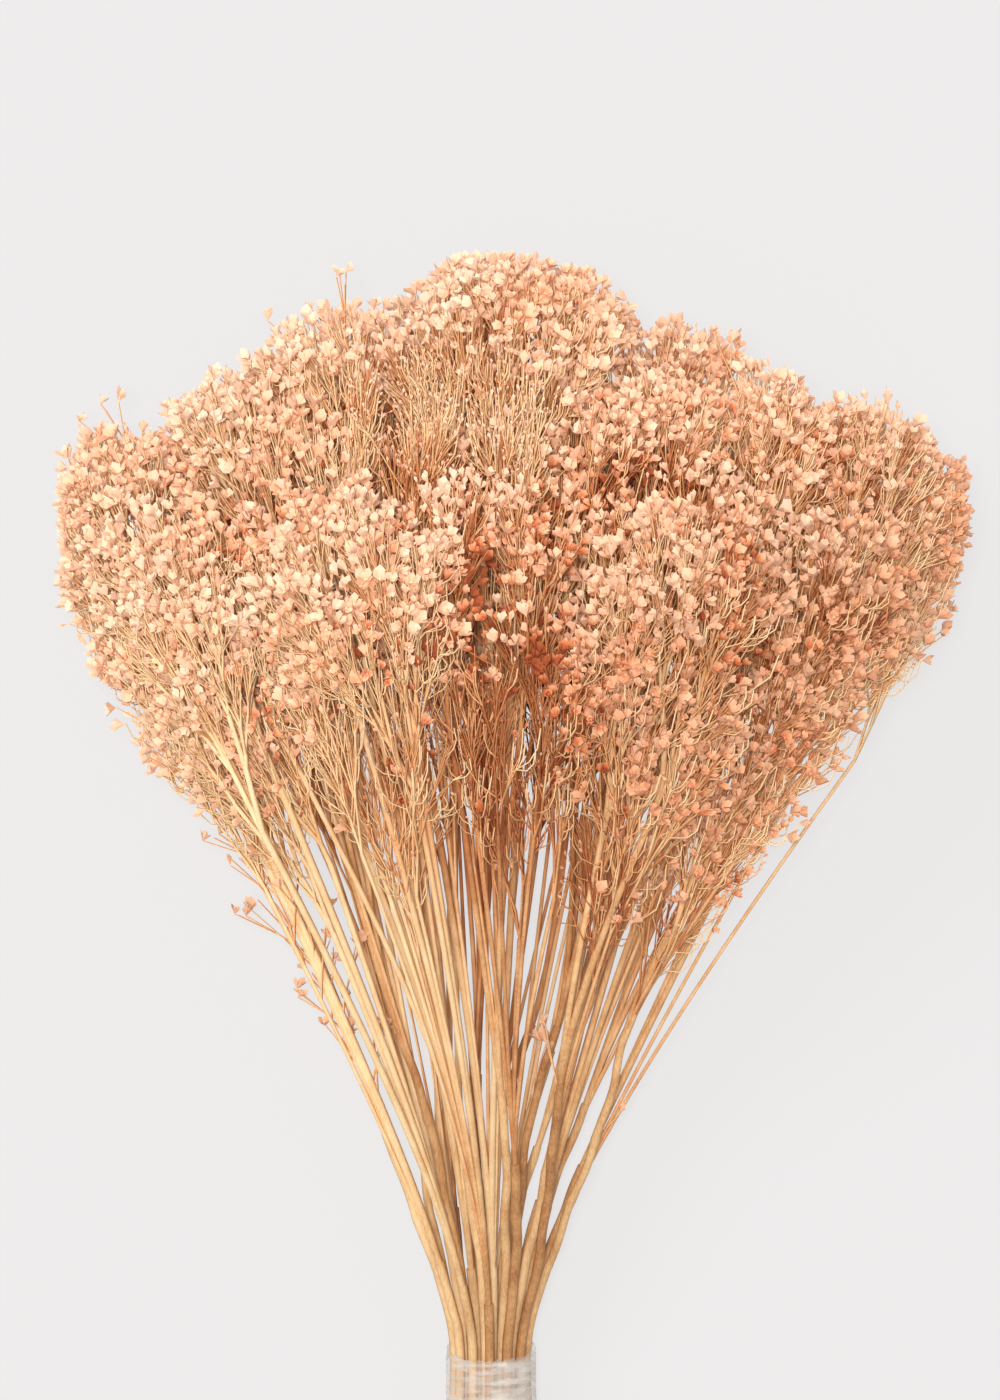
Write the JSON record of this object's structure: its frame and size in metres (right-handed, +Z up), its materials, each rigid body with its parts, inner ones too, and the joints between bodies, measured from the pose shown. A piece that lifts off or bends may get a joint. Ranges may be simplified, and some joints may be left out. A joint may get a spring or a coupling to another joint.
{
  "type": "dried broom bundle",
  "caption": "Bundle of dried broom blooms lying on its side: straw stems gathered in a thin tie, flaring into a wide domed head of small peach florets",
  "frame": {"origin": "centre of the footprint, on the surface that the bundle lies on", "axes": "+Y runs along the bundle from the cut stem ends to the flowers, +X across it to the right as seen from above with the flowers away, +Z up"},
  "size_m": [0.3626, 0.5466, 0.2447],
  "materials": {
    "straw_stem": "dry, smooth straw bark",
    "papery_florets": "matt, papery, dyed peach",
    "milky_film": "thin translucent film"
  },
  "bodies": {
    "root": {"stem_01": "straw_stem", "stem_02": "straw_stem", "stem_03": "straw_stem", "stem_04": "straw_stem", "stem_05": "straw_stem", "stem_06": "straw_stem", "stem_07": "straw_stem", "stem_08": "straw_stem", "stem_09": "straw_stem", "stem_10": "straw_stem", "stem_11": "straw_stem", "stem_12": "straw_stem", "stem_13": "straw_stem", "stem_14": "straw_stem", "stem_15": "straw_stem", "stem_16": "straw_stem", "stem_17": "straw_stem", "stem_18": "straw_stem", "stem_19": "straw_stem", "stem_20": "straw_stem", "stem_21": "straw_stem", "stem_22": "straw_stem", "stem_23": "straw_stem", "stem_24": "straw_stem", "stem_25": "straw_stem", "stem_26": "straw_stem", "stem_27": "straw_stem", "stem_28": "straw_stem", "stem_29": "straw_stem", "flower_spray_01": "papery_florets", "flower_spray_02": "papery_florets", "flower_spray_03": "papery_florets", "flower_spray_04": "papery_florets", "flower_spray_05": "papery_florets", "flower_spray_06": "papery_florets", "flower_spray_07": "papery_florets", "flower_spray_08": "papery_florets", "flower_spray_09": "papery_florets", "flower_spray_10": "papery_florets", "flower_spray_11": "papery_florets", "flower_spray_12": "papery_florets", "flower_spray_13": "papery_florets", "flower_spray_14": "papery_florets", "flower_spray_15": "papery_florets", "flower_spray_16": "papery_florets", "flower_spray_17": "papery_florets", "flower_spray_18": "papery_florets", "flower_spray_19": "papery_florets", "flower_spray_20": "papery_florets", "flower_spray_21": "papery_florets", "flower_spray_22": "papery_florets", "flower_spray_23": "papery_florets", "flower_spray_24": "papery_florets", "flower_spray_25": "papery_florets", "flower_spray_26": "papery_florets", "flower_spray_27": "papery_florets", "flower_spray_28": "papery_florets", "flower_spray_29": "papery_florets", "tie_band": "milky_film"}
  },
  "joints": []
}
